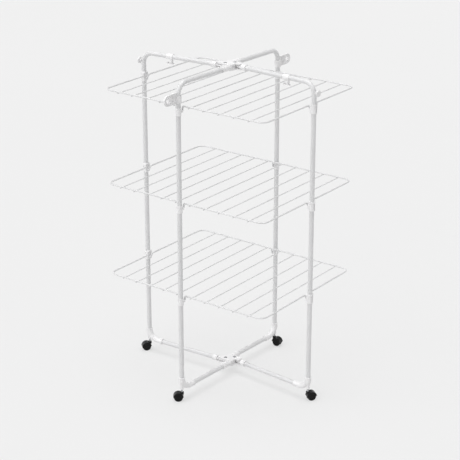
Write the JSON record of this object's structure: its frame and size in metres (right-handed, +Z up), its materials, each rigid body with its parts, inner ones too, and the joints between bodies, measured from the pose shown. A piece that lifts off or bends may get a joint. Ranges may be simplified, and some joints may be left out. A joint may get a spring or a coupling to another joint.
{
  "type": "clothes drying rack",
  "caption": "Folding tower clothes airer with wire trays on bent tube legs, pinwheel hubs, folding side wings, hanger arms and swivel casters.",
  "frame": {"origin": "on the floor, under the middle of the hubs, at the centre of the object's footprint", "axes": "+Z up; +Y from the front leg to the rear leg, along the tray hinges; +X from the left wing to the right wing"},
  "size_m": [0.8316, 0.778, 1.2735],
  "materials": {
    "white_powder_coat": "satin",
    "white_wire_coat": "satin",
    "white_plastic": "satin",
    "black_plastic": "matte",
    "black_tread": "matte",
    "steel": "satin"
  },
  "bodies": {
    "centre_frame": {"front_leg_tube": "white_powder_coat", "rear_leg_tube": "white_powder_coat", "front_bottom_tube": "white_powder_coat", "rear_bottom_tube": "white_powder_coat", "front_elbow": "white_plastic", "rear_elbow": "white_plastic", "top_hub": "white_plastic", "bottom_hub": "white_plastic", "top_hub_pins": "steel", "bottom_hub_pins": "steel", "front_hinge_bracket_1": "white_plastic", "rear_hinge_bracket_1": "white_plastic", "front_hinge_bracket_2": "white_plastic", "rear_hinge_bracket_2": "white_plastic", "front_hinge_bracket_3": "white_plastic", "rear_hinge_bracket_3": "white_plastic"},
    "left_wing": {"left_leg_tube": "white_powder_coat", "left_bottom_tube": "white_powder_coat", "left_elbow": "white_plastic", "left_top_knuckle": "white_plastic", "left_bottom_knuckle": "white_plastic", "left_rest_clips": "white_plastic", "left_button_peg": "white_plastic", "left_bar_hook": "white_plastic"},
    "right_wing": {"right_leg_tube": "white_powder_coat", "right_bottom_tube": "white_powder_coat", "right_elbow": "white_plastic", "right_top_knuckle": "white_plastic", "right_bottom_knuckle": "white_plastic", "right_rest_clips": "white_plastic", "right_button_peg": "white_plastic", "right_bar_hook": "white_plastic"},
    "left_tray_1": {"left_tray_frame_1": "white_wire_coat", "left_tray_rods_1": "white_wire_coat"},
    "left_tray_2": {"left_tray_frame_2": "white_wire_coat", "left_tray_rods_2": "white_wire_coat"},
    "left_tray_3": {"left_tray_frame_3": "white_wire_coat", "left_tray_rods_3": "white_wire_coat"},
    "right_tray_1": {"right_tray_frame_1": "white_wire_coat", "right_tray_rods_1": "white_wire_coat"},
    "right_tray_2": {"right_tray_frame_2": "white_wire_coat", "right_tray_rods_2": "white_wire_coat"},
    "right_tray_3": {"right_tray_frame_3": "white_wire_coat", "right_tray_rods_3": "white_wire_coat"},
    "front_hanger": {"front_hanger": "white_plastic"},
    "rear_hanger": {"rear_hanger": "white_plastic"},
    "front_caster": {"front_caster_hood": "black_plastic", "front_caster_pins": "steel"},
    "front_wheels": {"front_caster_wheels": "black_tread"},
    "rear_caster": {"rear_caster_hood": "black_plastic", "rear_caster_pins": "steel"},
    "rear_wheels": {"rear_caster_wheels": "black_tread"},
    "left_caster": {"left_caster_hood": "black_plastic", "left_caster_pins": "steel"},
    "left_wheels": {"left_caster_wheels": "black_tread"},
    "right_caster": {"right_caster_hood": "black_plastic", "right_caster_pins": "steel"},
    "right_wheels": {"right_caster_wheels": "black_tread"}
  },
  "joints": [
    {"name": "left_wing_fold", "type": "hinge", "parent": "centre_frame", "child": "left_wing", "pos_m": [-0.0125, -0.0125, 1.26], "axis": [0, 0, 1], "range_deg": [0, 67.5]},
    {"name": "right_wing_fold", "type": "hinge", "parent": "centre_frame", "child": "right_wing", "pos_m": [0.0125, 0.0125, 1.26], "axis": [0, 0, 1], "range_deg": [0, 81]},
    {"name": "left_tray_1_hinge", "type": "hinge", "parent": "centre_frame", "child": "left_tray_1", "pos_m": [-0.0055, 0, 1.157], "axis": [0, -1, 0], "range_deg": [0, 81]},
    {"name": "left_tray_2_hinge", "type": "hinge", "parent": "centre_frame", "child": "left_tray_2", "pos_m": [-0.0055, 0, 0.787], "axis": [0, -1, 0], "range_deg": [0, 81]},
    {"name": "left_tray_3_hinge", "type": "hinge", "parent": "centre_frame", "child": "left_tray_3", "pos_m": [-0.0055, 0, 0.417], "axis": [0, -1, 0], "range_deg": [0, 81]},
    {"name": "right_tray_1_hinge", "type": "hinge", "parent": "centre_frame", "child": "right_tray_1", "pos_m": [0.0055, 0, 1.157], "axis": [0, 1, 0], "range_deg": [0, 81]},
    {"name": "right_tray_2_hinge", "type": "hinge", "parent": "centre_frame", "child": "right_tray_2", "pos_m": [0.0055, 0, 0.787], "axis": [0, 1, 0], "range_deg": [0, 81]},
    {"name": "right_tray_3_hinge", "type": "hinge", "parent": "centre_frame", "child": "right_tray_3", "pos_m": [0.0055, 0, 0.417], "axis": [0, 1, 0], "range_deg": [0, 81]},
    {"name": "front_hanger_swivel", "type": "hinge", "parent": "centre_frame", "child": "front_hanger", "pos_m": [0, -0.309, 1.2], "axis": [0, 0, 1], "range_deg": [-100, 100]},
    {"name": "rear_hanger_swivel", "type": "hinge", "parent": "centre_frame", "child": "rear_hanger", "pos_m": [0, 0.309, 1.2], "axis": [0, 0, 1], "range_deg": [-100, 100]},
    {"name": "front_caster_swivel", "type": "hinge", "parent": "centre_frame", "child": "front_caster", "pos_m": [0, -0.309, 0.045], "axis": [0, 0, 1], "continuous": true},
    {"name": "front_wheels_roll", "type": "hinge", "parent": "front_caster", "child": "front_wheels", "pos_m": [-0.01073, -0.318, 0.017], "axis": [0.6428, -0.766, 0], "continuous": true},
    {"name": "rear_caster_swivel", "type": "hinge", "parent": "centre_frame", "child": "rear_caster", "pos_m": [0, 0.309, 0.045], "axis": [0, 0, 1], "continuous": true},
    {"name": "rear_wheels_roll", "type": "hinge", "parent": "rear_caster", "child": "rear_wheels", "pos_m": [0.01397, 0.30998, 0.017], "axis": [-0.0698, 0.9976, 0], "continuous": true},
    {"name": "left_caster_swivel", "type": "hinge", "parent": "left_wing", "child": "left_caster", "pos_m": [-0.3858, -0.03533, 0.045], "axis": [0, 0, 1], "continuous": true},
    {"name": "left_wheels_roll", "type": "hinge", "parent": "left_caster", "child": "left_wheels", "pos_m": [-0.3948, -0.04606, 0.017], "axis": [0.766, -0.6428, 0], "continuous": true},
    {"name": "right_caster_swivel", "type": "hinge", "parent": "right_wing", "child": "right_caster", "pos_m": [0.38535, -0.01684, 0.045], "axis": [0, 0, 1], "continuous": true},
    {"name": "right_wheels_roll", "type": "hinge", "parent": "right_caster", "child": "right_wheels", "pos_m": [0.39377, -0.00566, 0.017], "axis": [-0.7986, 0.6018, 0], "continuous": true}
  ],
  "couplings": [
    {"joint": "left_tray_1_hinge", "follows": "left_wing_fold", "ratio": 1.2},
    {"joint": "left_tray_2_hinge", "follows": "left_wing_fold", "ratio": 1.2},
    {"joint": "left_tray_3_hinge", "follows": "left_wing_fold", "ratio": 1.2},
    {"joint": "right_tray_1_hinge", "follows": "right_wing_fold", "ratio": 1},
    {"joint": "right_tray_2_hinge", "follows": "right_wing_fold", "ratio": 1},
    {"joint": "right_tray_3_hinge", "follows": "right_wing_fold", "ratio": 1}
  ]
}
